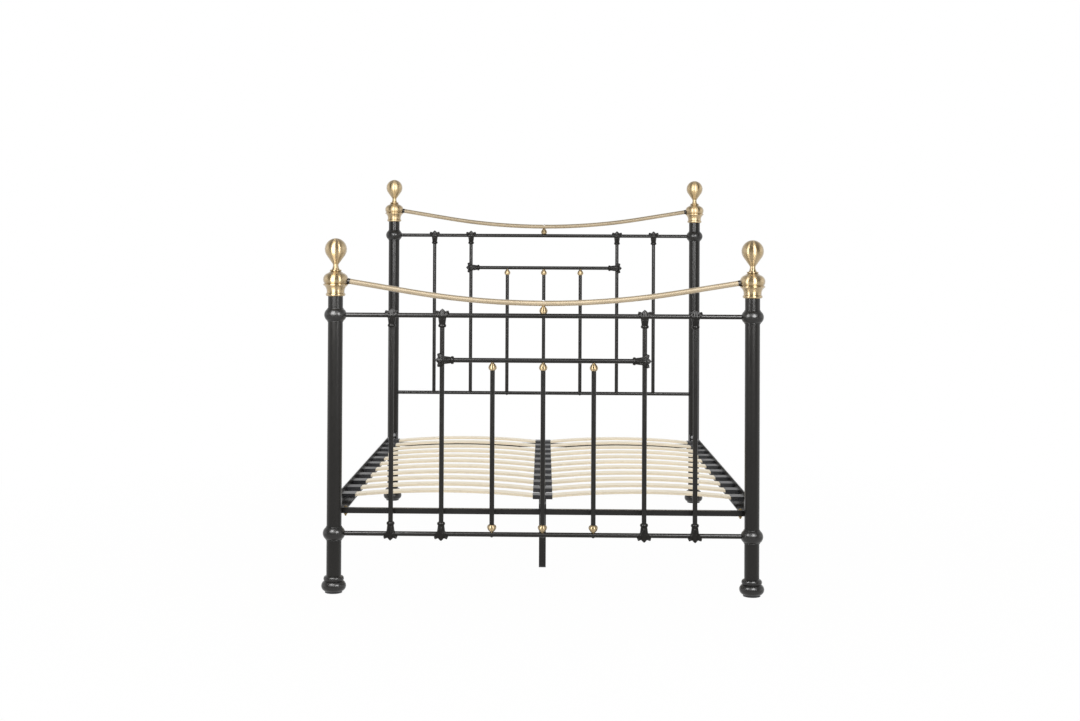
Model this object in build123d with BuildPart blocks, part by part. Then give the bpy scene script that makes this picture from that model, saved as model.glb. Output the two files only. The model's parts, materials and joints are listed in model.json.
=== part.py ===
from build123d import *
import os
from collections import namedtuple
from math import atan, cos, degrees, radians, sin, tan

# A double bedstead in the Victorian style: four round black posts on cast feet, rails and spindles
# joined by cast leaf joints, brass caps, finials, knobs and drooping top rails, and a slatted base
# on angle side rails.
# Millimetres. X runs across the bed, Y from the foot end to the head end and Z up from the floor,
# with the origin on the floor at the middle of the bed.

# Layout of the two ends
post_spacing_x = 1400.0
post_spacing_y = 1950.0
head_top_rail_height = 1235.0
head_lower_rail_height = 502.0
foot_top_rail_height = 931.0
foot_lower_rail_height = 198.0
mid_rail_drop = 150.0
spindle_pitch = 170.0

# Tubes
post_diameter = 50.0
post_wall = 1.5
rail_diameter = 16.0
rail_wall = 1.2

# Fits: the radial gap of a slip fit, and the gap left by a welded or seated face on a round tube
slip_fit = 0.1
weld_gap = 0.05

# Cast feet and their floor glides, each swell measured out from the post's surface
glide_swell = 4.0
glide_height = 6.0
glide_peg_diameter = 12.0
glide_peg_length = 15.0
foot_bulb_swell = 16.5
foot_bulb_height = 33.0
foot_neck_swell = 6.5
foot_ring_swell = 9.2
foot_ring_height = 14.5
foot_shoulder_height = 3.5
foot_spigot_length = 35.0

# Ball collars on the posts
collar_swell = 12.5
collar_height = 43.0

# Brass caps, each swell measured out from the post's surface, each height from the cap's foot
cap_lip_swell = 8.2
cap_lip_height = 11.0
cap_waist_swell = 5.0
cap_waist_height = 16.0
cap_seat_height = 34.0
cap_flange_swell = 17.3
cap_flange_height = 37.0
cap_flange_thickness = 3.0
cap_groove_swell = 13.5
cap_groove_height = 43.0
cap_bulge_swell = 17.4
cap_bulge_height = 58.0
cap_socket_height = 57.5
cap_shoulder_radius = 26.0
cap_shoulder_height = 78.0
cap_top_radius = 17.0
cap_height = 84.5

# Onion finials: a ball whose lower half runs on as a cone into a waisted neck
finial_base_radius = 18.5
finial_neck_radius = 9.3
finial_neck_blend = 8.0
finial_ball_radius = 37.4
finial_ball_height = 73.0
finial_cone_angle = 36.0
finial_bore_depth = 26.0
stud_diameter = 8.0
plug_height = 20.0

# Drooping brass top rails and the black ferrules at their ends
brass_diameter = 18.5
brass_wall = 1.2
brass_rise = 78.0
brass_straight = 252.0
brass_end_gap = 49.0
ferrule_diameter = 19.5
ferrule_seat = 30.0
ferrule_shank_length = 25.0

# Brass knobs and the dome screws that hold them
knob_diameter = 29.0
lower_knob_diameter = 32.0
knob_height = 25.0
knob_shoulder_height = 7.0
knob_shoulder_inset = 3.6
knob_widest_height = 15.5
knob_cup_height = 20.5
knob_cup_inset = 1.3
knob_neck_swell = 1.2
knob_lip_swell = 2.0
knob_socket_depth = 12.0
screw_diameter = 6.0
screw_grip = 10.5
screw_head_diameter = 10.0
screw_head_height = 2.5
insert_length = 20.0
insert_gap = 0.5

# Cast leaf joints, each swell measured out from the rail's surface, each drop from the rail's axis
joint_wall = 4.0
joint_hub_length = 25.0
joint_body_swell = 6.8
joint_waist_swell = 3.0
joint_waist_drop = 29.0
joint_ring_swell = 5.6
joint_drop = 40.0

# Three leaf crown of a joint: half widths from the spindle's axis and rises from the rail's surface
leaf_tip_rise = 13.2
leaf_shoulder_x = 6.5
leaf_shoulder_rise = 9.5
leaf_notch_x = 10.0
leaf_notch_rise = 5.0
side_leaf_x = 17.5
side_leaf_rise = 7.4
side_leaf_edge_x = 23.5
side_leaf_edge_rise = 1.0
leaf_root_thickness = 20.0
leaf_middle_thickness = 16.0
leaf_tip_thickness = 7.0

# Angle side rails, their end plates and the saddles and bolts that hold them to the posts
side_rail_underside = 276.0
side_rail_height = 40.0
side_rail_flange = 45.0
side_rail_outset = 3.5
plate_stock = 3.0
end_plate_width = 25.0
end_plate_thickness = 4.0
saddle_depth = 8.0
bolt_diameter = 8.0
bolt_head_diameter = 13.0
bolt_head_height = 5.0
rail_bolt_inset = 13.5
rail_bolt_spacing = 20.0
nut_bar_margin = 12.0
nut_bar_depth = 12.0

# Crossbars and the centre rail with its legs
crossbar_size = 18.0
crossbar_wall = 1.5
crossbar_gap = 4.0
crossbar_end_inset = 18.5
crossbar_bolt_inset = 35.5
crossbar_bolt_diameter = 6.0
crossbar_bolt_head_diameter = 14.0
crossbar_bolt_head_height = 3.5
crossbar_nut_width = 10.0
crossbar_nut_height = 5.0
crossbar_bolt_tip = 4.5
centre_rail_size = 25.0
centre_rail_wall = 1.5
centre_rail_rise = 15.0
centre_rail_end_gap = 2.0
centre_tab_length = 40.0
centre_leg_spacing = 1045.0
leg_plug_height = 5.0
leg_plug_length = 20.0

# Sprung slats and their plastic holders
slat_width = 53.0
slat_thickness = 8.0
slat_bow = 17.5
slat_pitch = 156.4
slat_end_margin = 95.0
slat_insertion = 20.0
holder_length = 50.0
holder_wall = 3.0
holder_rounding = 2.0
holder_peg_diameter = 7.0
holder_peg_spacing = 34.0
centre_cap_length = 68.0
centre_cap_peg_length = 6.0

# Values that follow from the driving dimensions
post_x = post_spacing_x / 2
post_y = post_spacing_y / 2
post_radius = post_diameter / 2
post_bore = post_radius - post_wall
rail_radius = rail_diameter / 2
rail_bore = rail_radius - rail_wall
brass_radius = brass_diameter / 2
brass_bore = brass_radius - brass_wall
screw_radius = screw_diameter / 2
bolt_radius = bolt_diameter / 2
crossbar_bolt_radius = crossbar_bolt_diameter / 2
stud_radius = stud_diameter / 2
ferrule_radius = ferrule_diameter / 2

outer_x = 3 * spindle_pitch
inner_x = 2 * spindle_pitch
short_xs = (-spindle_pitch, 0, spindle_pitch)
sides = (-1, 1)

foot_ring_base = glide_height + foot_bulb_height
foot_ring_top = foot_ring_base + foot_ring_height
post_bottom = foot_ring_top + foot_shoulder_height

# The brass rail is an arc with straight, tangent ends that aim at the post axes
half_slope = brass_rise / (post_x + brass_straight)
brass_slope = 2 * atan(half_slope)
bend_x = post_x - brass_straight
brass_lift = bend_x * half_slope + brass_straight * tan(brass_slope)
brass_above_rail = rail_radius + knob_height + brass_radius
cap_above_rail = brass_above_rail + brass_lift - cap_socket_height

side_rail_outer = post_x + side_rail_outset
side_rail_inner = side_rail_outer - plate_stock
side_rail_middle = side_rail_underside + side_rail_height / 2
plate_y = post_y - post_radius - saddle_depth
crossbar_y = plate_y - end_plate_thickness - crossbar_gap - crossbar_size / 2
crossbar_middle = side_rail_underside - crossbar_size / 2
crossbar_bolt_x = side_rail_outer - crossbar_bolt_inset
centre_rail_top = side_rail_underside + centre_rail_rise
centre_rail_bottom = centre_rail_top - centre_rail_size
centre_rail_end = crossbar_y - crossbar_size / 2 - centre_rail_end_gap
leg_y = centre_leg_spacing / 2

holder_height = slat_thickness + 2 * holder_wall
holder_width = slat_width + 2 * holder_wall
holder_mouth = side_rail_inner - holder_length
slat_outer_x = holder_mouth + slat_insertion
slat_inner_x = centre_cap_length / 2 - slat_insertion
slat_seat = centre_rail_top + holder_wall + slat_thickness / 2
row_reach = crossbar_y - crossbar_size / 2 - slat_end_margin - holder_width / 2
rows_each_way = int(row_reach / slat_pitch)
row_ys = [row * slat_pitch for row in range(-rows_each_way, rows_each_way + 1)]

End = namedtuple("End", "name y top_rail lower_rail")
foot = End("foot", -post_y, foot_top_rail_height, foot_lower_rail_height)
head = End("head", post_y, head_top_rail_height, head_lower_rail_height)
ends = (foot, head)

along_x = (0, 90, 0)
along_y = (90, 0, 0)
upside_down = (180, 0, 0)


def mid_rail(end):
    return end.top_rail - mid_rail_drop


def cap_foot(end):
    return end.top_rail + cap_above_rail


def save(part, label):
    part.label = label
    export_step(part, f"parts/{label}.step")


def save_copies(piece, places, label):
    """One node of equal pieces, set at each of the places."""
    with BuildPart() as node:
        with Locations(*places):
            add(piece)
    save(node.part, label)


def half_turn(side):
    """Turn about Z that faces a left hand piece inwards on the given side."""
    return (0, 0, 0) if side < 0 else (0, 0, 180)


def post_places(height_of, chosen_ends=ends):
    """A place at each post of the chosen ends, facing inwards."""
    return [
        Location((side * post_x, end.y, height_of(end)), half_turn(side))
        for end in chosen_ends
        for side in sides
    ]


def tube(length, radius, bore):
    """A round tube along Z, centred on the origin."""
    with BuildPart() as pipe:
        Cylinder(radius, length)
        Cylinder(bore, length, mode=Mode.SUBTRACT)
    return pipe.part


os.makedirs("parts", exist_ok=True)

# Floor glide: a plastic disc with a peg that presses into the cast foot
with BuildPart() as glide:
    Cylinder(post_radius + glide_swell, glide_height, align=(Align.CENTER, Align.CENTER, Align.MIN))
    with Locations((0, 0, glide_height)):
        Cylinder(
            glide_peg_diameter / 2, glide_peg_length, align=(Align.CENTER, Align.CENTER, Align.MIN)
        )

# Cast foot: bulb, ring and shoulder, with a spigot that goes up inside the post
with BuildPart() as cast_foot:
    with BuildSketch(Plane.XZ):
        neck = post_radius + foot_neck_swell
        spigot = post_bore - slip_fit
        spigot_top = post_bottom + foot_spigot_length
        with BuildLine():
            Line((0, glide_height), (neck, glide_height))
            ThreePointArc(
                (neck, glide_height),
                (post_radius + foot_bulb_swell, glide_height + foot_bulb_height / 2),
                (neck, foot_ring_base),
            )
            ThreePointArc(
                (neck, foot_ring_base),
                (post_radius + foot_ring_swell, foot_ring_base + foot_ring_height / 2),
                (neck, foot_ring_top),
            )
            Polyline(
                (neck, foot_ring_top),
                (post_radius, post_bottom),
                (spigot, post_bottom),
                (spigot, spigot_top),
                (0, spigot_top),
                (0, glide_height),
            )
        make_face()
    revolve()
    with Locations((0, 0, glide_height)):
        Cylinder(
            glide_peg_diameter / 2 + slip_fit,
            glide_peg_length + slip_fit,
            align=(Align.CENTER, Align.CENTER, Align.MIN),
            mode=Mode.SUBTRACT,
        )

save_copies(glide.part, post_places(lambda end: 0), "floor_glides")
save_copies(cast_foot.part, post_places(lambda end: 0), "post_feet")

# Posts, with holes for the side rail bolts on the face that looks along the bed
rail_bolt_zs = [side_rail_middle + side * rail_bolt_spacing / 2 for side in sides]
rail_bolt_x = side_rail_outer - rail_bolt_inset
for end in ends:
    post_top = cap_foot(end) + cap_seat_height
    for side, hand in zip(sides, ("left", "right")):
        with BuildPart() as post:
            with BuildSketch(Plane.XY.offset(post_bottom)):
                with Locations((side * post_x, end.y)):
                    Circle(post_radius)
                    Circle(post_bore, mode=Mode.SUBTRACT)
            extrude(amount=post_top - post_bottom)
            inward = -end.y / post_y
            for bolt_z in rail_bolt_zs:
                hole = (side * rail_bolt_x, end.y + inward * post_radius, bolt_z)
                with Locations(Location(hole, along_y)):
                    Cylinder(bolt_radius + slip_fit, post_radius, mode=Mode.SUBTRACT)
        save(post.part, f"{end.name}_post_{hand}")

# Ball collar: slides on the post and takes a rail's end in its inner side
with BuildPart() as collar:
    with BuildSketch(Plane.XZ):
        bore = post_radius + slip_fit
        with BuildLine():
            ThreePointArc(
                (bore, -collar_height / 2),
                (post_radius + collar_swell, 0),
                (bore, collar_height / 2),
            )
            Line((bore, collar_height / 2), (bore, -collar_height / 2))
        make_face()
    revolve()
    with Locations(Location((post_radius, 0, 0), along_x)):
        Cylinder(rail_radius + slip_fit, post_diameter, mode=Mode.SUBTRACT)

for end in ends:
    save_copies(collar.part, post_places(lambda e: e.top_rail, [end]), f"{end.name}_upper_collars")
save_copies(collar.part, post_places(lambda e: e.lower_rail, [foot]), "foot_lower_collars")

# Brass cap: a turned drum over the post's top, with a side socket for the brass rail's ferrule
with BuildPart() as cap:
    with BuildSketch(Plane.XZ):
        bore = post_radius + slip_fit
        lip = post_radius + cap_lip_swell
        waist = post_radius + cap_waist_swell
        flange = post_radius + cap_flange_swell
        flange_top = cap_flange_height + cap_flange_thickness
        groove = post_radius + cap_groove_swell
        stud_hole = stud_radius + slip_fit
        with BuildLine():
            Line((bore, 0), (waist, 0))
            ThreePointArc((waist, 0), (lip, cap_lip_height / 2), (waist, cap_lip_height))
            Line((waist, cap_lip_height), (waist, cap_waist_height))
            TangentArc((waist, cap_waist_height), (flange, cap_flange_height), tangent=(0, 1))
            Polyline((flange, cap_flange_height), (flange, flange_top), (groove, cap_groove_height))
            ThreePointArc(
                (groove, cap_groove_height),
                (post_radius + cap_bulge_swell, cap_bulge_height),
                (cap_shoulder_radius, cap_shoulder_height),
            )
            Polyline(
                (cap_shoulder_radius, cap_shoulder_height),
                (cap_top_radius, cap_height),
                (stud_hole, cap_height),
                (stud_hole, cap_seat_height),
                (bore, cap_seat_height),
                (bore, 0),
            )
        make_face()
    revolve()
    with Locations(Location((0, 0, cap_socket_height), (0, 90 + degrees(brass_slope), 0))):
        with Locations((0, 0, ferrule_seat)):
            Cylinder(
                ferrule_radius + slip_fit,
                post_diameter,
                align=(Align.CENTER, Align.CENTER, Align.MIN),
                mode=Mode.SUBTRACT,
            )

# Finial: the cone leaves the ball at a tangent and blends into the neck, which flares to the base
with BuildPart() as finial:
    with BuildSketch(Plane.XZ):
        lean = radians(finial_cone_angle)
        cone_x = finial_ball_radius * cos(lean)
        cone_z = finial_ball_height - finial_ball_radius * sin(lean)
        corner_z = cone_z - (cone_x - finial_neck_radius) / tan(lean)
        blend = finial_neck_blend * tan(lean / 2)
        cone_end = (finial_neck_radius + blend * sin(lean), corner_z + blend * cos(lean))
        neck_top = (finial_neck_radius, corner_z - blend)
        top = (0, finial_ball_height + finial_ball_radius)
        with BuildLine():
            TangentArc(neck_top, (finial_base_radius, 0), tangent=(0, -1))
            TangentArc(neck_top, cone_end, tangent=(0, 1))
            Line(cone_end, (cone_x, cone_z))
            ThreePointArc((cone_x, cone_z), (finial_ball_radius, finial_ball_height), top)
            Polyline(top, (0, 0), (finial_base_radius, 0))
        make_face()
    revolve()
    Cylinder(
        stud_radius + slip_fit,
        finial_bore_depth,
        align=(Align.CENTER, Align.CENTER, Align.MIN),
        mode=Mode.SUBTRACT,
    )

for end in ends:
    save_copies(cap.part, post_places(cap_foot, [end]), f"{end.name}_caps")
    save_copies(
        finial.part, post_places(lambda e: cap_foot(e) + cap_height, [end]), f"{end.name}_finials"
    )

# Plug in each post's top, and the stud that ties plug, cap and finial together
plug = tube(plug_height, post_bore - slip_fit, stud_radius + slip_fit)
stud_length = plug_height + cap_height - cap_seat_height + finial_bore_depth - slip_fit
stud = Cylinder(stud_radius, stud_length, align=(Align.CENTER, Align.CENTER, Align.MIN))
plug_foot = cap_seat_height - plug_height
save_copies(plug, post_places(lambda e: cap_foot(e) + plug_foot + plug_height / 2), "post_plugs")
save_copies(stud, post_places(lambda e: cap_foot(e) + plug_foot), "finial_studs")

# Drooping brass rails
for end in ends:
    middle_z = end.top_rail + brass_above_rail
    axis_z = middle_z + brass_lift
    with BuildPart() as brass_rail:
        with BuildLine(Plane.XZ.offset(-end.y)) as path:
            end_x = post_x - brass_end_gap * cos(brass_slope)
            end_z = axis_z - brass_end_gap * sin(brass_slope)
            bend_z = axis_z - brass_straight * tan(brass_slope)
            Line((-end_x, end_z), (-bend_x, bend_z))
            ThreePointArc((-bend_x, bend_z), (0, middle_z), (bend_x, bend_z))
            Line((bend_x, bend_z), (end_x, end_z))
        with BuildSketch(Plane(origin=path.wire() @ 0, z_dir=path.wire() % 0)):
            Circle(brass_radius)
            Circle(brass_bore, mode=Mode.SUBTRACT)
        sweep()
        with Locations((0, end.y, middle_z)):
            Cylinder(screw_radius + slip_fit, 2 * brass_diameter, mode=Mode.SUBTRACT)
    save(brass_rail.part, f"{end.name}_brass_rail")

# Ferrule between a cap and a brass rail, along X from the post's axis before it is tilted
with BuildPart() as ferrule:
    with BuildSketch(Plane.YZ.offset(ferrule_seat)):
        Circle(ferrule_radius)
    extrude(amount=brass_end_gap - ferrule_seat)
    with BuildSketch(Plane.YZ.offset(brass_end_gap)):
        Circle(brass_bore - slip_fit)
    extrude(amount=ferrule_shank_length)

ferrule_tilts = (degrees(brass_slope), 180 - degrees(brass_slope))
ferrule_places = [
    Location((side * post_x, end.y, cap_foot(end) + cap_socket_height), (0, tilt, 0))
    for end in ends
    for side, tilt in zip(sides, ferrule_tilts)
]
save_copies(ferrule.part, ferrule_places, "brass_rail_ferrules")


def straight_rail(end, height, half_length, stop_radius, hole_xs, hole_depth):
    """A tube along X whose ends are scribed to upright tubes, with screw holes from below."""
    with BuildPart() as rail:
        with BuildSketch(Plane.YZ.offset(-half_length)):
            with Locations((end.y, height)):
                Circle(rail_radius)
                Circle(rail_bore, mode=Mode.SUBTRACT)
        extrude(amount=2 * half_length)
        with Locations(*[(side * half_length, end.y, height) for side in sides]):
            Cylinder(stop_radius + weld_gap, 2 * rail_diameter, mode=Mode.SUBTRACT)
        with Locations(*[(x, end.y, height - rail_radius) for x in hole_xs]):
            Cylinder(screw_radius + slip_fit, hole_depth, mode=Mode.SUBTRACT)
    return rail.part


# Black rails: the top rail is drilled through for the brass rail's screw, the mid rail from below for
# the knob studs, and the lower rail through for the spindle screws
for end in ends:
    top_rail = straight_rail(end, end.top_rail, post_x, post_radius, (0,), 4 * rail_radius)
    save(top_rail, f"{end.name}_top_rail")
    middle_rail = straight_rail(end, mid_rail(end), inner_x, rail_radius, short_xs, rail_diameter)
    save(middle_rail, f"{end.name}_mid_rail")
    lower_rail = straight_rail(end, end.lower_rail, post_x, post_radius, short_xs, 4 * rail_radius)
    save(lower_rail, f"{end.name}_lower_rail")


def spindles(end, xs, bottom, top, bottom_rail, top_rail):
    """Upright tubes at the given places, scribed to the rails named at their ends."""
    with BuildPart() as group:
        with BuildSketch(Plane.XY.offset(bottom)):
            with Locations(*[(x, end.y) for x in xs]):
                Circle(rail_radius)
                Circle(rail_bore, mode=Mode.SUBTRACT)
        extrude(amount=top - bottom)
        for rail_z in [z for z in (bottom_rail, top_rail) if z is not None]:
            with Locations(*[Location((x, end.y, rail_z), along_x) for x in xs]):
                Cylinder(rail_radius + weld_gap, 2 * rail_diameter, mode=Mode.SUBTRACT)
    return group.part


# Spindles: full height ones between top and lower rail, short ones that hang from the mid rail's knobs
knob_seat = rail_radius + knob_height - knob_socket_depth
for end in ends:
    for name, x in (("outer", outer_x), ("inner", inner_x)):
        full = spindles(end, (-x, x), end.lower_rail, end.top_rail, end.lower_rail, end.top_rail)
        save(full, f"{end.name}_{name}_spindles")
foot_short = spindles(foot, short_xs, foot.lower_rail + knob_seat, mid_rail(foot) - knob_seat, None, None)
save(foot_short, "foot_short_spindles")
head_short = spindles(head, short_xs, head.lower_rail, mid_rail(head) - knob_seat, head.lower_rail, None)
save(head_short, "head_short_spindles")

# Crown of a leaf joint: a three lobed plate that thins from its root to its tips
with BuildPart() as crown:
    body_lean = (joint_body_swell - joint_waist_swell) / joint_waist_drop
    root_x = rail_radius + joint_body_swell - body_lean * rail_radius - slip_fit
    tip_z = rail_radius + leaf_tip_rise
    notch_z = rail_radius + leaf_notch_rise
    edge_z = rail_radius + side_leaf_edge_rise
    with BuildSketch(Plane.XZ):
        with BuildLine():
            for side in sides:
                ThreePointArc(
                    (0, tip_z),
                    (side * leaf_shoulder_x, rail_radius + leaf_shoulder_rise),
                    (side * leaf_notch_x, notch_z),
                )
                ThreePointArc(
                    (side * leaf_notch_x, notch_z),
                    (side * side_leaf_x, rail_radius + side_leaf_rise),
                    (side * side_leaf_edge_x, edge_z),
                )
                TangentArc(
                    (side * root_x, -rail_radius), (side * side_leaf_edge_x, edge_z), tangent=(0, 1)
                )
            Line((-root_x, -rail_radius), (root_x, -rail_radius))
        make_face()
    extrude(amount=leaf_root_thickness, both=True)
    with BuildSketch(Plane.YZ):
        with BuildLine():
            for side in sides:
                ThreePointArc(
                    (side * leaf_root_thickness / 2, -rail_radius),
                    (side * leaf_middle_thickness / 2, rail_radius),
                    (side * leaf_tip_thickness / 2, tip_z),
                )
            Line((-leaf_root_thickness / 2, -rail_radius), (leaf_root_thickness / 2, -rail_radius))
            Line((-leaf_tip_thickness / 2, tip_z), (leaf_tip_thickness / 2, tip_z))
        make_face()
    extrude(amount=2 * side_leaf_edge_x, both=True, mode=Mode.INTERSECT)

# Cast leaf joint: grips a rail along X, holds a spindle below it and bears the crown above
with BuildPart() as leaf_joint:
    with BuildSketch(Plane.XZ):
        waist = rail_radius + joint_waist_swell
        with BuildLine():
            Polyline((0, 0), (rail_radius + joint_body_swell, 0), (waist, -joint_waist_drop))
            ThreePointArc(
                (waist, -joint_waist_drop),
                (rail_radius + joint_ring_swell, -(joint_waist_drop + joint_drop) / 2),
                (waist, -joint_drop),
            )
            Polyline((waist, -joint_drop), (0, -joint_drop), (0, 0))
        make_face()
    revolve()
    with Locations(Location((0, 0, 0), along_x)):
        Cylinder(rail_radius + joint_wall, joint_hub_length)
    add(crown.part)
    with Locations(Location((0, 0, 0), along_x)):
        Cylinder(rail_radius + slip_fit, 4 * side_leaf_edge_x, mode=Mode.SUBTRACT)
    Cylinder(
        rail_radius + slip_fit,
        2 * joint_drop,
        align=(Align.CENTER, Align.CENTER, Align.MAX),
        mode=Mode.SUBTRACT,
    )

crossings = (-outer_x, -inner_x, inner_x, outer_x)
for end in ends:
    save_copies(leaf_joint.part, [(x, end.y, end.top_rail) for x in crossings], f"{end.name}_top_joints")
    mid_places = [Location((side * inner_x, end.y, mid_rail(end)), (0, side * 90, 0)) for side in sides]
    save_copies(leaf_joint.part, mid_places, f"{end.name}_mid_joints")
lower_places = [Location((x, foot.y, foot.lower_rail), upside_down) for x in crossings]
save_copies(leaf_joint.part, lower_places, "foot_lower_joints")


knob_lip = rail_radius + knob_lip_swell


def bell_knob(neck_rail, diameter):
    """A turned knob whose neck sits on a rail along X through the origin and whose lip is up."""
    radius = diameter / 2
    neck = screw_radius + knob_neck_swell
    widest = neck_rail + knob_widest_height
    top = neck_rail + knob_height
    with BuildPart() as knob:
        with BuildSketch(Plane.XZ):
            with BuildLine():
                Polyline((0, 0), (neck, 0), (neck, neck_rail))
                ThreePointArc(
                    (neck, neck_rail),
                    (radius - knob_shoulder_inset, neck_rail + knob_shoulder_height),
                    (radius, widest),
                )
                ThreePointArc(
                    (radius, widest),
                    (radius - knob_cup_inset, neck_rail + knob_cup_height),
                    (knob_lip, top),
                )
                Polyline((knob_lip, top), (0, top), (0, 0))
            make_face()
        revolve()
        with Locations(Location((0, 0, 0), along_x)):
            Cylinder(neck_rail + weld_gap, 2 * diameter, mode=Mode.SUBTRACT)
        Cylinder(screw_radius + slip_fit, 4 * knob_height, mode=Mode.SUBTRACT)
    return knob.part


def spindle_knob(diameter):
    """A knob whose lip is bored to take a short spindle's end."""
    with BuildPart() as knob:
        add(bell_knob(rail_radius, diameter))
        with Locations((0, 0, knob_seat)):
            Cylinder(
                rail_radius + slip_fit,
                knob_height,
                align=(Align.CENTER, Align.CENTER, Align.MIN),
                mode=Mode.SUBTRACT,
            )
    return knob.part


# Rail knob: hangs under the brass rail's middle, its lip seated along the top rail's crest
with BuildPart() as rail_knob:
    add(bell_knob(brass_radius, knob_diameter))
    with Locations(Location((0, 0, brass_above_rail), along_x)):
        Cylinder(rail_radius + weld_gap, 2 * knob_diameter, mode=Mode.SUBTRACT)

for end in ends:
    mid_knob_places = [Location((x, end.y, mid_rail(end)), upside_down) for x in short_xs]
    save_copies(spindle_knob(knob_diameter), mid_knob_places, f"{end.name}_mid_knobs")
lower_knob_places = [(x, foot.y, foot.lower_rail) for x in short_xs]
save_copies(spindle_knob(lower_knob_diameter), lower_knob_places, "foot_lower_knobs")
brass_middles = [Location((0, end.y, end.top_rail + brass_above_rail), upside_down) for end in ends]
save_copies(rail_knob.part, brass_middles, "rail_knobs")


def dome_screw(rail_size, shank_length):
    """A screw down through a rail along X at the origin, its dome seated on the rail's back."""
    with BuildPart() as screw:
        with BuildSketch(Plane.XZ):
            head_radius = screw_head_diameter / 2
            dome_top = rail_size + screw_head_height
            with BuildLine():
                Polyline((0, dome_top), (0, 0), (head_radius, 0), (head_radius, rail_size))
                TangentArc((0, dome_top), (head_radius, rail_size), tangent=(1, 0))
            make_face()
        revolve()
        with Locations(Location((0, 0, 0), along_x)):
            Cylinder(rail_size + weld_gap, 2 * screw_head_diameter, mode=Mode.SUBTRACT)
        with Locations((0, 0, rail_size + screw_head_height / 2)):
            Cylinder(
                screw_radius,
                shank_length + rail_size + screw_head_height / 2,
                align=(Align.CENTER, Align.CENTER, Align.MAX),
            )
    return screw.part


# Screws under the lower rails, screws over the brass rails, and headless studs in the mid rails
spindle_screw = dome_screw(rail_radius, rail_radius + screw_grip)
screw_places = [Location((x, end.y, end.lower_rail), upside_down) for end in ends for x in short_xs]
save_copies(spindle_screw, screw_places, "spindle_screws")
brass_screw = dome_screw(brass_radius, brass_above_rail)
save_copies(brass_screw, [(0, e.y, e.top_rail + brass_above_rail) for e in ends], "brass_rail_screws")
knob_stud = Cylinder(
    screw_radius, rail_radius + screw_grip, align=(Align.CENTER, Align.CENTER, Align.MAX)
)
save_copies(knob_stud, [(x, end.y, mid_rail(end)) for end in ends for x in short_xs], "knob_studs")

# Threaded inserts in the foot of the headboard's short spindles
spindle_insert = tube(insert_length, rail_bore - slip_fit, screw_radius + slip_fit)
insert_z = head.lower_rail + rail_radius + insert_gap + insert_length / 2
save_copies(spindle_insert, [(x, head.y, insert_z) for x in short_xs], "spindle_inserts")

# Side rails: an angle with an end plate at each end, drilled for holders, crossbars and post bolts
for side, hand in zip(sides, ("left", "right")):
    with BuildPart() as side_rail:
        with BuildSketch(Plane.XZ.offset(-plate_y)):
            with Locations((side * side_rail_outer, side_rail_underside)):
                edge = Align.MIN if side < 0 else Align.MAX
                Rectangle(plate_stock, side_rail_height, align=(edge, Align.MIN))
                Rectangle(side_rail_flange, plate_stock, align=(edge, Align.MIN))
        extrude(amount=2 * plate_y)
        for way in sides:
            with BuildSketch(Plane.XZ.offset(-way * (plate_y - end_plate_thickness / 2))):
                with Locations((side * side_rail_outer, side_rail_underside)):
                    Rectangle(end_plate_width, side_rail_height, align=(edge, Align.MIN))
            extrude(amount=end_plate_thickness / 2, both=True)
        bolt_places = [(side * rail_bolt_x, way * plate_y, z) for way in sides for z in rail_bolt_zs]
        with Locations(*[Location(place, along_y) for place in bolt_places]):
            Cylinder(bolt_radius + slip_fit, 4 * end_plate_thickness, mode=Mode.SUBTRACT)
        with Locations(*[(side * crossbar_bolt_x, way * crossbar_y, side_rail_underside) for way in sides]):
            Cylinder(crossbar_bolt_radius + slip_fit, 4 * plate_stock, mode=Mode.SUBTRACT)
        peg_ys = [y + peg * holder_peg_spacing / 2 for y in row_ys for peg in sides]
        with Locations(*[Location((side * side_rail_outer, y, slat_seat), along_x) for y in peg_ys]):
            Cylinder(holder_peg_diameter / 2 + slip_fit, 4 * plate_stock, mode=Mode.SUBTRACT)
    save(side_rail.part, f"side_rail_{hand}")

# Fastening of a side rail's end to a post, modelled at the left foot post with the post's axis as origin
bolt_dx = post_x - rail_bolt_x
bolt_offsets = [(bolt_dx, side * rail_bolt_spacing / 2) for side in sides]
plate_face = post_radius + saddle_depth
bolt_seat = plate_face + end_plate_thickness

# Saddle: a casting hollowed to the post, flat towards the end plate
with BuildPart() as saddle:
    with BuildSketch(Plane.XZ):
        with Locations((-side_rail_outset, 0)):
            Rectangle(end_plate_width, side_rail_height, align=(Align.MIN, Align.CENTER))
        with Locations(*bolt_offsets):
            Circle(bolt_radius + slip_fit, mode=Mode.SUBTRACT)
    extrude(amount=-plate_face)
    Cylinder(post_radius + weld_gap, 2 * side_rail_height, mode=Mode.SUBTRACT)

# Nut bar: a threaded segment that fills one side of the post's bore
nut_bar_height = rail_bolt_spacing + 2 * nut_bar_margin
with BuildPart() as nut_bar:
    Cylinder(post_bore - slip_fit, nut_bar_height)
    with Locations((0, post_bore - nut_bar_depth, 0)):
        Box(
            post_diameter,
            post_diameter,
            nut_bar_height,
            align=(Align.CENTER, Align.MIN, Align.CENTER),
            mode=Mode.INTERSECT,
        )
    with Locations(*[Location((x, post_bore, z), along_y) for x, z in bolt_offsets]):
        Cylinder(bolt_radius + slip_fit, post_diameter, mode=Mode.SUBTRACT)

# Rail bolts: hexagon heads on the end plate, shanks through saddle and post into the nut bar
with BuildPart() as rail_bolts:
    with BuildSketch(Plane.XZ.offset(-bolt_seat)):
        with Locations(*bolt_offsets):
            RegularPolygon(bolt_head_diameter / 2, 6, major_radius=False)
    extrude(amount=-bolt_head_height)
    with BuildSketch(Plane.XZ.offset(-bolt_seat)):
        with Locations(*bolt_offsets):
            Circle(bolt_radius)
    extrude(amount=bolt_seat - post_bore + nut_bar_depth)

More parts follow.
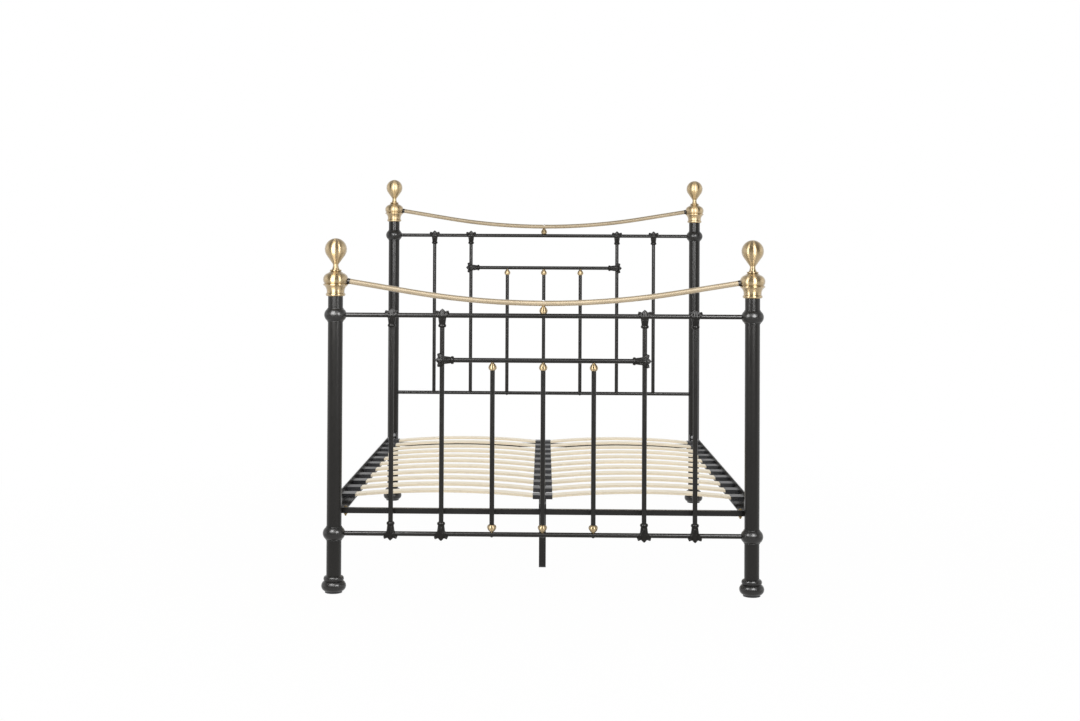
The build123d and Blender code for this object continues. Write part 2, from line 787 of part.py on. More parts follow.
# The four corners follow from the left foot one by half turns, as each piece is alike up and down
corners = [
    Location((-post_x, -post_y, side_rail_middle), (0, 0, 0)),
    Location((-post_x, post_y, side_rail_middle), (180, 0, 0)),
    Location((post_x, -post_y, side_rail_middle), (0, 180, 0)),
    Location((post_x, post_y, side_rail_middle), (0, 0, 180)),
]
save_copies(saddle.part, corners, "post_saddles")
save_copies(nut_bar.part, corners, "post_nut_bars")
save_copies(rail_bolts.part, corners, "rail_bolts")

# Crossbars under the side rails and the centre rail's tabs
crossbar_half = side_rail_outer - crossbar_end_inset
crossbar_bolt_xs = (-crossbar_bolt_x, 0, crossbar_bolt_x)
for end in ends:
    bar_y = end.y / post_y * crossbar_y
    with BuildPart() as crossbar:
        with BuildSketch(Plane.YZ.offset(-crossbar_half)):
            with Locations((bar_y, crossbar_middle)):
                Rectangle(crossbar_size, crossbar_size)
                Rectangle(
                    crossbar_size - 2 * crossbar_wall,
                    crossbar_size - 2 * crossbar_wall,
                    mode=Mode.SUBTRACT,
                )
        extrude(amount=2 * crossbar_half)
        with Locations(*[(x, bar_y, crossbar_middle) for x in crossbar_bolt_xs]):
            Cylinder(crossbar_bolt_radius + slip_fit, 2 * crossbar_size, mode=Mode.SUBTRACT)
    save(crossbar.part, f"crossbar_{end.name}")

# Round headed bolts down through rail or tab and crossbar, with a nut below; origin at the head's seat
bolt_drop = plate_stock + crossbar_size
with BuildPart() as carriage_bolt:
    with BuildSketch(Plane.XZ):
        with BuildLine():
            head_edge = (crossbar_bolt_head_diameter / 2, 0)
            TangentArc((0, crossbar_bolt_head_height), head_edge, tangent=(1, 0))
            Polyline((0, crossbar_bolt_head_height), (0, 0), head_edge)
        make_face()
    revolve()
    Cylinder(
        crossbar_bolt_radius,
        bolt_drop + crossbar_nut_height + crossbar_bolt_tip,
        align=(Align.CENTER, Align.CENTER, Align.MAX),
    )

with BuildPart() as nut:
    with BuildSketch(Plane.XY.offset(-bolt_drop)):
        RegularPolygon(crossbar_nut_width / 2, 6, major_radius=False)
        Circle(crossbar_bolt_radius + slip_fit, mode=Mode.SUBTRACT)
    extrude(amount=-crossbar_nut_height)

bolt_seat_z = side_rail_underside + plate_stock
crossbar_bolt_places = [(x, side * crossbar_y, bolt_seat_z) for x in crossbar_bolt_xs for side in sides]
save_copies(carriage_bolt.part, crossbar_bolt_places, "crossbar_bolts")
save_copies(nut.part, crossbar_bolt_places, "crossbar_nuts")

# Centre rail: a square tube with a flat tab at each end that lies on a crossbar
with BuildPart() as centre_rail:
    with BuildSketch(Plane.XZ.offset(-centre_rail_end)):
        with Locations((0, centre_rail_top)):
            Rectangle(centre_rail_size, centre_rail_size, align=(Align.CENTER, Align.MAX))
        with Locations((0, centre_rail_top - centre_rail_wall)):
            Rectangle(
                centre_rail_size - 2 * centre_rail_wall,
                centre_rail_size - 2 * centre_rail_wall,
                align=(Align.CENTER, Align.MAX),
                mode=Mode.SUBTRACT,
            )
    extrude(amount=2 * centre_rail_end)
    tab_end = crossbar_y + crossbar_size / 2
    for side in sides:
        with Locations((0, side * tab_end, side_rail_underside)):
            Box(
                centre_rail_size,
                centre_tab_length + tab_end - centre_rail_end,
                plate_stock,
                align=(Align.CENTER, Align.MIN if side < 0 else Align.MAX, Align.MIN),
            )
        with Locations((0, side * crossbar_y, side_rail_underside)):
            Cylinder(crossbar_bolt_radius + slip_fit, 4 * plate_stock, mode=Mode.SUBTRACT)
    with Locations(*[(0, y, centre_rail_top) for y in row_ys]):
        Cylinder(holder_peg_diameter / 2 + slip_fit, 4 * centre_rail_wall, mode=Mode.SUBTRACT)
save(centre_rail.part, "centre_rail")

# Centre legs and the plastic plugs they stand on
with BuildPart() as centre_leg:
    with BuildSketch(Plane.XY.offset(leg_plug_height)):
        Rectangle(centre_rail_size, centre_rail_size)
        Rectangle(
            centre_rail_size - 2 * centre_rail_wall,
            centre_rail_size - 2 * centre_rail_wall,
            mode=Mode.SUBTRACT,
        )
    extrude(amount=centre_rail_bottom - leg_plug_height)

with BuildPart() as leg_plug:
    with BuildSketch():
        Rectangle(centre_rail_size, centre_rail_size)
    extrude(amount=leg_plug_height)
    with BuildSketch(Plane.XY.offset(leg_plug_height)):
        plug_core = centre_rail_size - 2 * centre_rail_wall - 2 * slip_fit
        Rectangle(plug_core, plug_core)
    extrude(amount=leg_plug_length)

leg_places = [(0, side * leg_y, 0) for side in sides]
save_copies(centre_leg.part, leg_places, "centre_legs")
save_copies(leg_plug.part, leg_places, "leg_plugs")


def bowed_slat(growth):
    """The right hand slat of the row at Y zero, grown on every side by the given amount."""
    first = slat_inner_x - growth
    last = slat_outer_x + growth
    middle = (slat_inner_x + slat_outer_x) / 2
    under = slat_seat - slat_thickness / 2 - growth
    over = slat_seat + slat_thickness / 2 + growth
    with BuildPart() as slat:
        with BuildSketch(Plane.XZ):
            with BuildLine():
                ThreePointArc((first, under), (middle, under + slat_bow), (last, under))
                Line((last, under), (last, over))
                ThreePointArc((last, over), (middle, over + slat_bow), (first, over))
                Line((first, over), (first, under))
            make_face()
        extrude(amount=slat_width / 2 + growth, both=True)
    return slat.part


slat = bowed_slat(0)
slat_space = bowed_slat(slip_fit)
row_places = [Location((0, y, 0)) for y in row_ys]
turned_places = [Location((0, y, 0), (0, 0, 180)) for y in row_ys]
save_copies(slat, row_places, "slats_right")
save_copies(slat, turned_places, "slats_left")

# Side holder: a plastic pocket that plugs into the side rail with two pegs
with BuildPart() as side_holder:
    with Locations((side_rail_inner, 0, slat_seat)):
        Box(holder_length, holder_width, holder_height, align=(Align.MAX, Align.CENTER, Align.CENTER))
    fillet(side_holder.edges().filter_by(Axis.Z).group_by(Axis.X)[0], holder_rounding)
    add(slat_space, mode=Mode.SUBTRACT)
    pegs = [(side_rail_inner, side * holder_peg_spacing / 2, slat_seat) for side in sides]
    with Locations(*[Location(place, along_x) for place in pegs]):
        Cylinder(
            holder_peg_diameter / 2,
            plate_stock,
            align=(Align.CENTER, Align.CENTER, Align.MIN),
        )
save_copies(side_holder.part, row_places, "slat_holders_right")
save_copies(side_holder.part, turned_places, "slat_holders_left")

# Centre cap: a double pocket on the centre rail, with a peg into the rail's top
with BuildPart() as centre_cap:
    with Locations((0, 0, slat_seat)):
        Box(centre_cap_length, holder_width, holder_height)
    fillet(centre_cap.edges().filter_by(Axis.Z), holder_rounding)
    add(slat_space, mode=Mode.SUBTRACT)
    add(slat_space, rotation=(0, 0, 180), mode=Mode.SUBTRACT)
    with Locations((0, 0, centre_rail_top)):
        Cylinder(
            holder_peg_diameter / 2,
            centre_cap_peg_length,
            align=(Align.CENTER, Align.CENTER, Align.MAX),
        )
save_copies(centre_cap.part, row_places, "centre_slat_caps")
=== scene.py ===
import json
from math import cos, pi, radians, sin, sqrt

import bpy
from mathutils import Matrix, Vector


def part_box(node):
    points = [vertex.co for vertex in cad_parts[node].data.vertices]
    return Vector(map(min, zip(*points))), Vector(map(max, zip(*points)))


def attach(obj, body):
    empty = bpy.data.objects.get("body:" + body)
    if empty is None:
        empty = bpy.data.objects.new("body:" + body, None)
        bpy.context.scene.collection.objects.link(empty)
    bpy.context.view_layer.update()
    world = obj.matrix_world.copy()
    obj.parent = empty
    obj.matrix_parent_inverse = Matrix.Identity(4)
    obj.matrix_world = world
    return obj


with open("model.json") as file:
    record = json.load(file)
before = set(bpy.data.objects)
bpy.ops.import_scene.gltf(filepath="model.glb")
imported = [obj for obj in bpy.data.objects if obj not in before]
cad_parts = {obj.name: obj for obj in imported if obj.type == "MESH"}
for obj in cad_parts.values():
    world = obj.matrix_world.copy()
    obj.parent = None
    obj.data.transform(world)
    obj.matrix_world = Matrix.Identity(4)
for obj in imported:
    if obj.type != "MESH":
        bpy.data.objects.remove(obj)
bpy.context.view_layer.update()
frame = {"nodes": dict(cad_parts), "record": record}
nodes = frame["nodes"]

# Layout of the bed, in metres
SPINDLE_PITCH = 0.17
CROSSINGS = (-3 * SPINDLE_PITCH, -2 * SPINDLE_PITCH, 2 * SPINDLE_PITCH, 3 * SPINDLE_PITCH)
ENDS = ("foot", "head")
SIDES = (-1, 1)

# Camera: in front of the foot end, almost square to it
IMAGE_WIDTH = 1080
CAMERA_PLACE = Vector((0.002, -5.995, 1.111))
CAMERA_YAW = radians(1.079)
CAMERA_PITCH = radians(0.701)
CAMERA_ROLL = radians(0.293)
FOCAL_PIXELS = 1494.4
SENSOR_WIDTH = 36.0
AXIS_RIGHT_OF_MIDDLE = -23.75
AXIS_ABOVE_MIDDLE = 116.6

# Studio. A span says where a change starts and ends: for the floor in metres from the bed's middle, for
# the world along one axis of the direction looked in. The levels are (height of the direction, level).
FLOOR_SIZE = 40.0
FLOOR_CELLS = 8
FLOOR_COLOUR = (0.64, 0.61, 0.57)
FLOOR_ROUGHNESS = 0.9
FLOOR_WHITE = 0.98
SHADOW_SPAN = (1.3, 3.0)
AMBIENT = 0.55
FROM_ABOVE = 0.7
ABOVE_SPAN = (0.5, 0.75)
FROM_FRONT = 1.8
FRONT_SPAN = (-0.95, -0.6)
FRONT_LEVELS = ((0.0, 0.20), (0.6, 0.20), (0.92, 0.5), (1.0, 0.5))
BACK_LEVELS = ((0.0, 1.0), (0.4, 1.0), (0.8, 0.5), (1.0, 0.5))
BACK_SPAN = (-0.35, 0.15)
SIDE_LEVEL = 1.7
SIDE_SPAN = (0.86, 0.98)
WHITE = (1, 1, 1, 1)

# Colours, linear
BLACK_DEEP = (0.0085, 0.0076, 0.0064)
BLACK_WORN = (0.0110, 0.0099, 0.0085)
CAST_DEEP = (0.0100, 0.0092, 0.0082)
CAST_WORN = (0.0140, 0.0130, 0.0116)
PLASTIC_DEEP = (0.010, 0.010, 0.012)
PLASTIC_WORN = (0.018, 0.018, 0.021)
BRASS_DEEP = (0.39, 0.285, 0.145)
BRASS_BRIGHT = (0.47, 0.355, 0.195)
RAIL_DEEP = (0.48, 0.385, 0.25)
RAIL_BRIGHT = (0.56, 0.455, 0.305)
BIRCH_PALE = (0.84, 0.77, 0.64)
BIRCH_STREAK = (0.78, 0.69, 0.53)
# Cut edges of the slats: the plies' own tan, partly painted light, made lighter to make up for the shade
# that falls on these upright faces
PLY_EDGE_AND_PAINTED_LIGHT = (0.90, 0.78, 0.58)
ZINC_YELLOW = (0.34, 0.25, 0.11)
ZINC_YELLOW_DARK = (0.20, 0.14, 0.06)
STEEL_BRIGHT = (0.70, 0.70, 0.71)
STEEL_DARK = (0.42, 0.42, 0.43)

# Grain of the looks. A brushing or veneer grain is given by its density along the three axes.
COAT_TONE_SCALE = 7.0
COAT_RELIEF = (0.06, 0.0001)
METAL_TONE_SCALE = 9.0
TURNED = (3.0, 3.0, 2600.0)
DRAWN = (4.0, 2600.0, 2600.0)
PLATED = (300.0, 300.0, 300.0)
LACQUER = 1.0
LACQUER_ROUGHNESS = 0.15
VENEER_GRAIN = (2.5, 95.0, 95.0)
VENEER_PLIES = (1.5, 20.0, 500.0)
VENEER_GLOSS = (0.44, 0.56)
VENEER_RELIEF = (0.1, 0.0002)
CUT_EDGE_SPAN = (0.4, 0.8)


def new_material(name):
    """A material with an empty principled shader, as its tree and that shader."""
    material = bpy.data.materials.new(name)
    material.use_nodes = True
    tree = material.node_tree
    return material, tree, tree.nodes["Principled BSDF"]


def add_node(tree, kind, **settings):
    """A new node with some of its settings made."""
    node = tree.nodes.new(kind)
    for key, value in settings.items():
        setattr(node, key, value)
    return node


def place_in_object(tree, stretch=(1, 1, 1)):
    """The point on the object, stretched along its axes."""
    place = add_node(tree, "ShaderNodeTexCoord").outputs["Object"]
    scaled = add_node(tree, "ShaderNodeVectorMath", operation="MULTIPLY")
    scaled.inputs[1].default_value = stretch
    tree.links.new(place, scaled.inputs[0])
    return scaled.outputs["Vector"]


def noise(tree, vector, scale, detail=3.0):
    """A soft random pattern about the middle of 0 to 1."""
    texture = add_node(tree, "ShaderNodeTexNoise")
    texture.inputs["Scale"].default_value = scale
    texture.inputs["Detail"].default_value = detail
    tree.links.new(vector, texture.inputs["Vector"])
    return texture.outputs["Fac"]


def colour_between(tree, factor, low, high):
    """A colour that goes from low to high over the middle part of the factor's range."""
    ramp = add_node(tree, "ShaderNodeValToRGB")
    first, last = ramp.color_ramp.elements
    first.position, last.position = 0.35, 0.65
    first.color, last.color = (*low, 1), (*high, 1)
    tree.links.new(factor, ramp.inputs["Fac"])
    return ramp.outputs["Color"]


def value_between(tree, factor, low, high, span=(0.3, 0.7)):
    """A value that goes from low to high while the factor crosses the span."""
    scale = add_node(tree, "ShaderNodeMapRange")
    scale.inputs["From Min"].default_value, scale.inputs["From Max"].default_value = span
    scale.inputs["To Min"].default_value = low
    scale.inputs["To Max"].default_value = high
    tree.links.new(factor, scale.inputs["Value"])
    return scale.outputs["Result"]


def bump(tree, shader, height, relief):
    """A fine relief on a shader's surface, as its strength and depth."""
    node = add_node(tree, "ShaderNodeBump")
    node.inputs["Strength"].default_value, node.inputs["Distance"].default_value = relief
    tree.links.new(height, node.inputs["Height"])
    tree.links.new(node.outputs["Normal"], shader.inputs["Normal"])


def coated(name, deep, worn, gloss, shine, grain_scale):
    """A dark coat over metal or plastic, with a fine grain and slow changes of tone and gloss."""
    material, tree, shader = new_material(name)
    shader.inputs["Specular IOR Level"].default_value = shine
    here = place_in_object(tree)
    slow = noise(tree, here, COAT_TONE_SCALE)
    fine = noise(tree, here, grain_scale, 2.0)
    tree.links.new(colour_between(tree, slow, deep, worn), shader.inputs["Base Color"])
    tree.links.new(value_between(tree, slow, *gloss), shader.inputs["Roughness"])
    bump(tree, shader, fine, COAT_RELIEF)
    return material


def metal(name, dark, bright, gloss, brushing, spread=0.0, spread_along=None):
    """A bare metal with fine brush lines, which spread its highlights across themselves."""
    material, tree, shader = new_material(name)
    shader.inputs["Metallic"].default_value = 1.0
    lines = noise(tree, place_in_object(tree, brushing), 1.0, 2.0)
    slow = noise(tree, place_in_object(tree), METAL_TONE_SCALE)
    tree.links.new(colour_between(tree, slow, dark, bright), shader.inputs["Base Color"])
    tree.links.new(value_between(tree, lines, *gloss), shader.inputs["Roughness"])
    if spread_along:
        shader.inputs["Coat Weight"].default_value = LACQUER
        shader.inputs["Coat Roughness"].default_value = LACQUER_ROUGHNESS
        shader.inputs["Anisotropic"].default_value = spread
        tree.links.new(spread_along(tree), shader.inputs["Tangent"])
    return material


def up_the_surface(tree):
    """The way up, for pieces turned on a lathe about an upright axis."""
    up = add_node(tree, "ShaderNodeCombineXYZ")
    up.inputs["Z"].default_value = 1.0
    return up.outputs["Vector"]


def round_the_rail(tree):
    """The way round a rail that runs across the bed."""
    across = add_node(tree, "ShaderNodeVectorMath", operation="CROSS_PRODUCT")
    across.inputs[1].default_value = (1, 0, 0)
    tree.links.new(add_node(tree, "ShaderNodeNewGeometry").outputs["Normal"], across.inputs[0])
    return across.outputs["Vector"]


def birch(name):
    """Pale veneer with long grain on the faces, and darker plies where the edges are cut. The edge colour
    is partly the plies' own tan and partly painted light, lifted to make up for the shade on the upright
    faces.
    """
    material, tree, shader = new_material(name)
    grain = noise(tree, place_in_object(tree, VENEER_GRAIN), 1.0, 4.0)
    plies = noise(tree, place_in_object(tree, VENEER_PLIES), 1.0, 2.0)
    face = colour_between(tree, grain, BIRCH_STREAK, BIRCH_PALE)
    # The edge colour carries painted light: it is lifted to offset the shade on the upright cut faces
    edge = colour_between(tree, plies, PLY_EDGE_AND_PAINTED_LIGHT, BIRCH_STREAK)
    normal = add_node(tree, "ShaderNodeSeparateXYZ")
    tree.links.new(add_node(tree, "ShaderNodeNewGeometry").outputs["Normal"], normal.inputs[0])
    level = add_node(tree, "ShaderNodeMath", operation="ABSOLUTE")
    tree.links.new(normal.outputs["Z"], level.inputs[0])
    mix = add_node(tree, "ShaderNodeMix", data_type="RGBA")
    tree.links.new(value_between(tree, level.outputs[0], 0.0, 1.0, CUT_EDGE_SPAN), mix.inputs[0])
    tree.links.new(edge, mix.inputs[6])
    tree.links.new(face, mix.inputs[7])
    tree.links.new(mix.outputs[2], shader.inputs["Base Color"])
    tree.links.new(value_between(tree, grain, *VENEER_GLOSS), shader.inputs["Roughness"])
    bump(tree, shader, grain, VENEER_RELIEF)
    return material


looks = {
    "black_metal": coated("black_powder_coat", BLACK_DEEP, BLACK_WORN, (0.27, 0.31), 0.29, 2400.0),
    "black_casting": coated("black_cast", CAST_DEEP, CAST_WORN, (0.27, 0.32), 0.44, 1300.0),
    "black_plastic": coated("black_moulded", PLASTIC_DEEP, PLASTIC_WORN, (0.34, 0.42), 0.5, 2000.0),
    "antique_brass": metal(
        "turned_brass", BRASS_DEEP, BRASS_BRIGHT, (0.32, 0.36), TURNED, 0.95, up_the_surface
    ),
    "yellow_zinc": metal("yellow_zinc", ZINC_YELLOW_DARK, ZINC_YELLOW, (0.28, 0.42), PLATED),
    "bright_steel": metal("bright_steel", STEEL_DARK, STEEL_BRIGHT, (0.24, 0.38), PLATED),
    "birch": birch("birch_slat"),
}
drawn_brass = metal("drawn_brass", RAIL_DEEP, RAIL_BRIGHT, (0.50, 0.56), DRAWN, 0.2, round_the_rail)
leaf_black = coated("black_leaf", BLACK_DEEP, BLACK_WORN, (0.28, 0.33), 0.2, 1300.0)
special = {"_brass_rail": drawn_brass, "_joints": leaf_black, "_joint_leaves": leaf_black}
slot_of = {entry["node"]: entry["material_slot"] for entry in frame["record"]["subparts"]}


def look_of(name, slot):
    """The look of a material slot, or the one that a kind of piece has for itself."""
    own = [look for ending, look in special.items() if name.endswith(ending)]
    return own[0] if own else looks[slot]


for name, piece in nodes.items():
    piece.data.materials.clear()
    piece.data.materials.append(look_of(name, slot_of[name]))
pieces = list(nodes.values())


def add_piece(name, points, faces, slot):
    """A smooth mesh that belongs to the bed and takes the look of a material slot."""
    mesh = bpy.data.meshes.new(name)
    mesh.from_pydata(points, [], faces)
    mesh.polygons.foreach_set("use_smooth", [True] * len(mesh.polygons))
    mesh.materials.append(look_of(name, slot))
    piece = bpy.data.objects.new(name, mesh)
    bpy.context.scene.collection.objects.link(piece)
    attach(piece, "root")
    pieces.append(piece)
    return piece


def middle(node):
    """The middle of a node's box."""
    low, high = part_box(node)
    return (low + high) / 2


# Leaves cast on the joints, in metres from the crossing of the two tubes' axes. Each run is a list of
# (where, value) stops. The relief goes from a leaf's edge to its rib.
LEAF_ROWS = 12
CASTING_FRONT = ((-0.027, 0.0114), (-0.012, 0.0134), (0.000, 0.0151), (0.010, 0.0116), (0.0225, 0.0050))
CASTING_REACH = ((-0.027, 0.0130), (-0.010, 0.020), (0.004, 0.028))
LEAF_RELIEF = (-0.0026, 0.0008, 0.0007, 0.0001, 0.0004, 0.0013)
LEAF_CURL = ((0.72, 0.0), (1.0, 0.0045))
LEAF_THICKNESS = 0.003
WIDEST_REACH = 0.95
MIDDLE_LEAF = (Vector((0, -0.026)), Vector((0, -0.002)), Vector((0, 0.0222)))
MIDDLE_WIDTHS = ((0.0, 0.0050), (0.5, 0.0095), (0.8, 0.0092), (0.93, 0.0062), (1.0, 0.0010))
SIDE_LEAF = (Vector((0.004, -0.017)), Vector((0.012, 0.000)), Vector((0.0205, 0.0160)))
SIDE_WIDTHS = ((0.0, 0.0025), (0.5, 0.0064), (0.8, 0.0066), (0.93, 0.0045), (1.0, 0.0008))


def along(stops, where):
    """The value at a place on a smooth run through the stops, level beyond its ends."""
    if where <= stops[0][0]:
        return stops[0][1]
    for (start, low), (end, high) in zip(stops, stops[1:]):
        if where <= end:
            share = (where - start) / (end - start)
            return low + (high - low) * share * share * (3 - 2 * share)
    return stops[-1][1]


def leaf(spine, widths):
    """Points of one leaf on the front of a joint, in rows from its root to its tip, and its faces."""
    root, bend, tip = spine
    half_columns = len(LEAF_RELIEF) - 1
    points = []
    for row in range(LEAF_ROWS + 1):
        t = row / LEAF_ROWS
        rib = (1 - t) ** 2 * root + 2 * t * (1 - t) * bend + t * t * tip
        run = (1 - t) * (bend - root) + t * (tip - bend)
        across = Vector((run.y, -run.x)).normalized() * along(widths, t)
        for column in range(-half_columns, half_columns + 1):
            x, z = rib + across * (column / half_columns)
            reach = min(abs(x) / along(CASTING_REACH, z), WIDEST_REACH)
            front = along(CASTING_FRONT, z) * sqrt(1 - reach**2) + along(LEAF_CURL, t)
            points.append(Vector((x, -front - LEAF_RELIEF[half_columns - abs(column)], z)))
    width = 2 * half_columns + 1
    corners = [row * width + column for row in range(LEAF_ROWS) for column in range(width - 1)]
    return points, [(c, c + 1, c + width + 1, c + width) for c in corners]


def joint_leaves():
    """Points and faces of all leaves of one joint: a middle leaf and two side leaves, front and back."""
    points, faces = [], []
    sprays = [(MIDDLE_LEAF, MIDDLE_WIDTHS, 1), (SIDE_LEAF, SIDE_WIDTHS, 1), (SIDE_LEAF, SIDE_WIDTHS, -1)]
    for spine, widths, hand in sprays:
        leaf_points, leaf_faces = leaf(spine, widths)
        for way in SIDES:
            start = len(points)
            points += [Vector((hand * p.x, way * p.y, p.z)) for p in leaf_points]
            order = 1 if hand * way > 0 else -1
            faces += [tuple(start + corner for corner in face[::order]) for face in leaf_faces]
    return points, faces


def joint_places(end):
    """Where the leaf joints of one end are: on its top rail and mid rail, and on the foot's lower rail."""
    top = middle(f"{end}_top_rail")
    places = [Matrix.Translation((x, top.y, top.z)) for x in CROSSINGS]
    for side in SIDES:
        place = Matrix.Translation((side * 2 * SPINDLE_PITCH, top.y, middle(f"{end}_mid_rail").z))
        places.append(place @ Matrix.Rotation(side * pi / 2, 4, "Y"))
    if end == "foot":
        low = middle("foot_lower_rail").z
        places += [Matrix.Translation((x, top.y, low)) @ Matrix.Rotation(pi, 4, "X") for x in CROSSINGS]
    return places


one_joint, one_joint_faces = joint_leaves()
for end in ENDS:
    points, faces = [], []
    for place in joint_places(end):
        faces += [tuple(len(points) + corner for corner in face) for face in one_joint_faces]
        points += [place @ point for point in one_joint]
    leaves = add_piece(f"{end}_joint_leaves", points, faces, "black_casting")
    shell = leaves.modifiers.new("thickness", "SOLIDIFY")
    shell.thickness = LEAF_THICKNESS
    leaves.modifiers.new("smooth", "SUBSURF").render_levels = 1

# Beads: fine rings where collars meet their post and where a finial sits on its cap. Each is given by
# its radius and the radius of its section.
BEAD_SIDES = 10
RING_SIDES = 56
COLLAR_BEAD = (0.0258, 0.0017)
FINIAL_BEAD = (0.0180, 0.0022)


def beads(name, size, places, slot):
    """Rings of round section about upright axes at the places."""
    radius, section = size
    points, faces = [], []
    for place in places:
        start = len(points)
        for turn in range(RING_SIDES):
            angle = 2 * pi * turn / RING_SIDES
            for step in range(BEAD_SIDES):
                bend = 2 * pi * step / BEAD_SIDES
                out = radius + section * cos(bend)
                offset = Vector((out * cos(angle), out * sin(angle), section * sin(bend)))
                points.append(Vector(place) + offset)
                ahead = (turn + 1) % RING_SIDES * BEAD_SIDES
                following = (step + 1) % BEAD_SIDES
                here = turn * BEAD_SIDES
                ring = (here + step, ahead + step, ahead + following, here + following)
                faces.append(tuple(start + corner for corner in ring))
    add_piece(name, points, faces, slot)


posts = [middle(f"{end}_post_{hand}") for end in ENDS for hand in ("left", "right")]
for end in ENDS:
    own_posts = [post for post in posts if (post.y < 0) == (end == "foot")]
    for node in [node for node in nodes if node.startswith(end) and node.endswith("_collars")]:
        heights = [corner.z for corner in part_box(node)]
        rims = [(post.x, post.y, height) for post in own_posts for height in heights]
        beads(f"{node}_beads", COLLAR_BEAD, rims, "black_casting")
    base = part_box(f"{end}_finials")[0].z + FINIAL_BEAD[1]
    seats = [(post.x, post.y, base) for post in own_posts]
    beads(f"{end}_finial_beads", FINIAL_BEAD, seats, "antique_brass")

# Floor: white to the camera and in metal, with a trace of the bed's shadow near it
bpy.ops.mesh.primitive_grid_add(x_subdivisions=FLOOR_CELLS, y_subdivisions=FLOOR_CELLS, size=FLOOR_SIZE)
floor = bpy.context.object
floor.name = "floor"
floor_look, tree, shader = new_material("floor_white")
shader.inputs["Base Color"].default_value = (*FLOOR_COLOUR, 1)
shader.inputs["Roughness"].default_value = FLOOR_ROUGHNESS
away = add_node(tree, "ShaderNodeVectorMath", operation="LENGTH")
tree.links.new(add_node(tree, "ShaderNodeTexCoord").outputs["Object"], away.inputs[0])
white = value_between(tree, away.outputs["Value"], FLOOR_WHITE, 1.0, SHADOW_SPAN)
path = add_node(tree, "ShaderNodeLightPath")
seen = path.outputs["Is Camera Ray"]
for kind in ("Is Glossy Ray", "Is Transmission Ray"):
    either = add_node(tree, "ShaderNodeMath", operation="MAXIMUM")
    tree.links.new(seen, either.inputs[0])
    tree.links.new(path.outputs[kind], either.inputs[1])
    seen = either.outputs[0]
share = add_node(tree, "ShaderNodeMath", operation="MULTIPLY")
tree.links.new(white, share.inputs[0])
tree.links.new(seen, share.inputs[1])
emission = add_node(tree, "ShaderNodeEmission")
emission.inputs["Color"].default_value = WHITE
mix = add_node(tree, "ShaderNodeMixShader")
tree.links.new(share.outputs[0], mix.inputs[0])
tree.links.new(shader.outputs[0], mix.inputs[1])
tree.links.new(emission.outputs[0], mix.inputs[2])
tree.links.new(mix.outputs[0], tree.nodes["Material Output"].inputs["Surface"])
floor.data.materials.append(floor_look)

# World: white to the camera, a plain soft level for matt surfaces, and for glossy ones a studio that is
# white behind the bed, brighter at its sides, dim behind the camera and half as bright overhead
world = bpy.data.worlds.new("studio")
bpy.context.scene.world = world
world.use_nodes = True
tree = world.node_tree
axes = add_node(tree, "ShaderNodeSeparateXYZ")
tree.links.new(add_node(tree, "ShaderNodeTexCoord").outputs["Generated"], axes.inputs[0])


def level_by_height(levels):
    """A level that follows the height of the direction looked in."""
    ramp = add_node(tree, "ShaderNodeValToRGB")
    stops = ramp.color_ramp.elements
    while len(stops) < len(levels):
        stops.new(1.0)
    for stop, (height, level) in zip(stops, levels):
        stop.position = height
        stop.color = (level, level, level, 1)
    tree.links.new(axes.outputs["Z"], ramp.inputs["Fac"])
    return ramp.outputs["Color"]


def choose(factor, low, high):
    """A level between two others. Each of these is a number or a node's output."""
    mix = add_node(tree, "ShaderNodeMix", data_type="FLOAT")
    tree.links.new(factor, mix.inputs[0])
    for socket, level in zip(mix.inputs[2:4], (low, high)):
        if isinstance(level, float):
            socket.default_value = level
        else:
            tree.links.new(level, socket)
    return mix.outputs[0]


sideways = add_node(tree, "ShaderNodeMath", operation="ABSOLUTE")
tree.links.new(axes.outputs["X"], sideways.inputs[0])
behind = value_between(tree, axes.outputs["Y"], 0.0, 1.0, BACK_SPAN)
beside = value_between(tree, sideways.outputs[0], 0.0, 1.0, SIDE_SPAN)
ends_of_room = choose(behind, level_by_height(FRONT_LEVELS), level_by_height(BACK_LEVELS))
studio = choose(beside, ends_of_room, SIDE_LEVEL)
above = value_between(tree, axes.outputs["Z"], AMBIENT, AMBIENT + FROM_ABOVE, ABOVE_SPAN)
ahead = value_between(tree, axes.outputs["Y"], FROM_FRONT, 0.0, FRONT_SPAN)
plain = add_node(tree, "ShaderNodeMath", operation="ADD")
tree.links.new(above, plain.inputs[0])
tree.links.new(ahead, plain.inputs[1])
path = add_node(tree, "ShaderNodeLightPath")
level = choose(path.outputs["Is Glossy Ray"], plain.outputs[0], studio)
for kind in ("Is Transmission Ray", "Is Camera Ray"):
    level = choose(path.outputs[kind], level, 1.0)
tree.links.new(level, tree.nodes["Background"].inputs["Strength"])
tree.nodes["Background"].inputs["Color"].default_value = WHITE


# Lamps: each is kept for one group of pieces. The birch slats get only the world's light.
def group_of(name, members):
    """Pieces that some lamps are kept for."""
    group = bpy.data.collections.new(name)
    for piece in members:
        group.objects.link(piece)
    return group


def pieces_with(look):
    return [piece for piece in pieces if piece.data.materials[0] == look]


turned, drawn, wood = [pieces_with(look) for look in (looks["antique_brass"], drawn_brass, looks["birch"])]
brass = group_of("brass", turned)
far_brass = group_of("far_brass", [piece for piece in turned if piece.name.startswith("head")])
rails = group_of("rails", drawn)
others = group_of("others", [piece for piece in pieces if piece not in turned + drawn + wood])


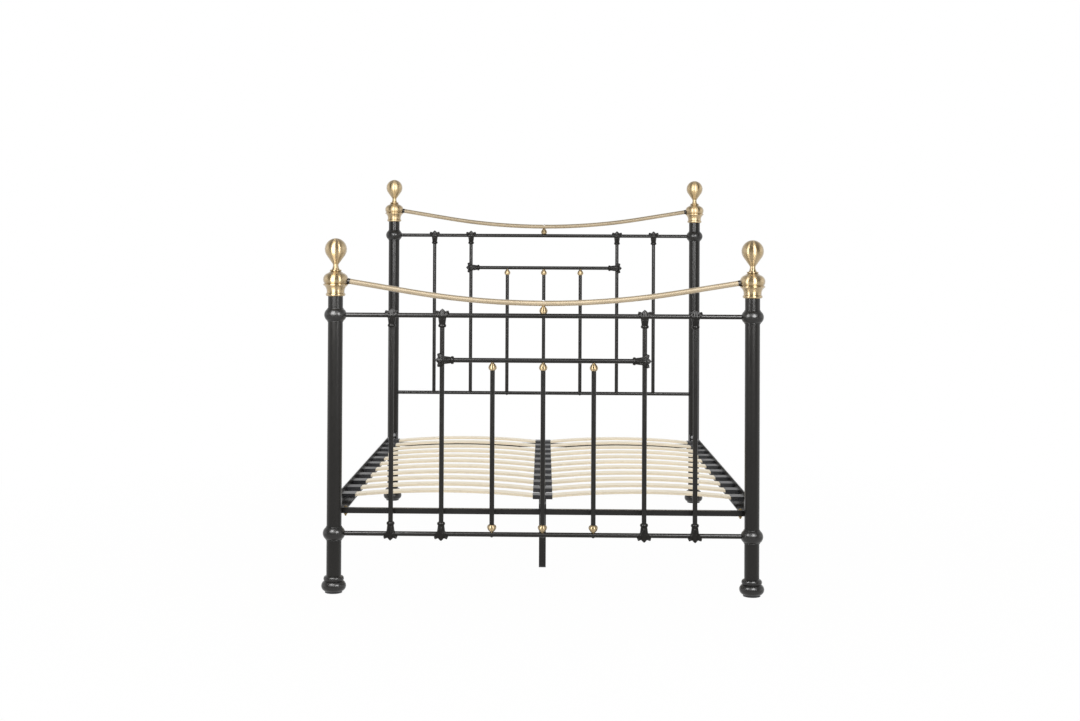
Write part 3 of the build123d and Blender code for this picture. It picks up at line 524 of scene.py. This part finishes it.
def softbox(name, place, aim, size, power, group):
    """A rectangular lamp that is seen in the glossy surfaces of a group of pieces."""
    lamp = bpy.data.lights.new(name, "AREA")
    lamp.shape = "RECTANGLE"
    lamp.size, lamp.size_y = size
    lamp.energy = power
    holder = bpy.data.objects.new(name, lamp)
    holder.location = place
    holder.rotation_euler = (Vector(aim) - Vector(place)).to_track_quat("-Z", "Y").to_euler()
    holder.visible_camera = False
    holder.visible_diffuse = False
    holder.light_linking.receiver_collection = group
    bpy.context.scene.collection.objects.link(holder)


softbox("tall_left", (-1.1, -2.05, 2.0), (-0.3, 0, 2.0), (0.75, 3.9), 53, brass)
softbox("tall_right", (1.15, -2.68, 2.0), (0.3, 0, 2.0), (0.8, 3.9), 57, brass)
softbox("strip_left", (-1.1, -2.05, 1.94), (-0.3, 0, 1.94), (0.75, 1.82), 72, others)
softbox("strip_right", (1.15, -2.68, 1.94), (0.3, 0, 1.94), (0.8, 1.82), 84, others)
softbox("bar_left", (-0.6, -2.05, 1.24), (-0.5, 0, 1.0), (0.3, 0.4), 3.7, others)
softbox("bar_right", (0.64, -2.68, 1.4), (0.5, 0, 1.0), (0.26, 0.6), 7, others)
softbox("bank", (0, -6.0, 4.2), (0, 0, 0.6), (12.0, 4.2), 410, others)
softbox("wall", (0, -1.2, 2.0), (0, 0.975, 1.7), (5.0, 4.0), 125, far_brass)
softbox("rail_bank", (0.1, -4.2, 3.0), (0.1, 0, 1.0), (2.6, 3.6), 92, rails)

# Camera: turned, tilted and rolled a little, with the frame shifted down and to the right of its axis
lens = bpy.data.cameras.new("camera")
lens.sensor_width = SENSOR_WIDTH
lens.lens = FOCAL_PIXELS * SENSOR_WIDTH / IMAGE_WIDTH
lens.shift_x = -AXIS_RIGHT_OF_MIDDLE / IMAGE_WIDTH
lens.shift_y = -AXIS_ABOVE_MIDDLE / IMAGE_WIDTH
camera = bpy.data.objects.new("camera", lens)
bpy.context.scene.collection.objects.link(camera)
camera.matrix_world = (
    Matrix.Translation(CAMERA_PLACE)
    @ Matrix.Rotation(CAMERA_YAW, 4, "Z")
    @ Matrix.Rotation(radians(90) + CAMERA_PITCH, 4, "X")
    @ Matrix.Rotation(CAMERA_ROLL, 4, "Z")
)
bpy.context.scene.camera = camera
bpy.context.scene.view_settings.view_transform = "Standard"
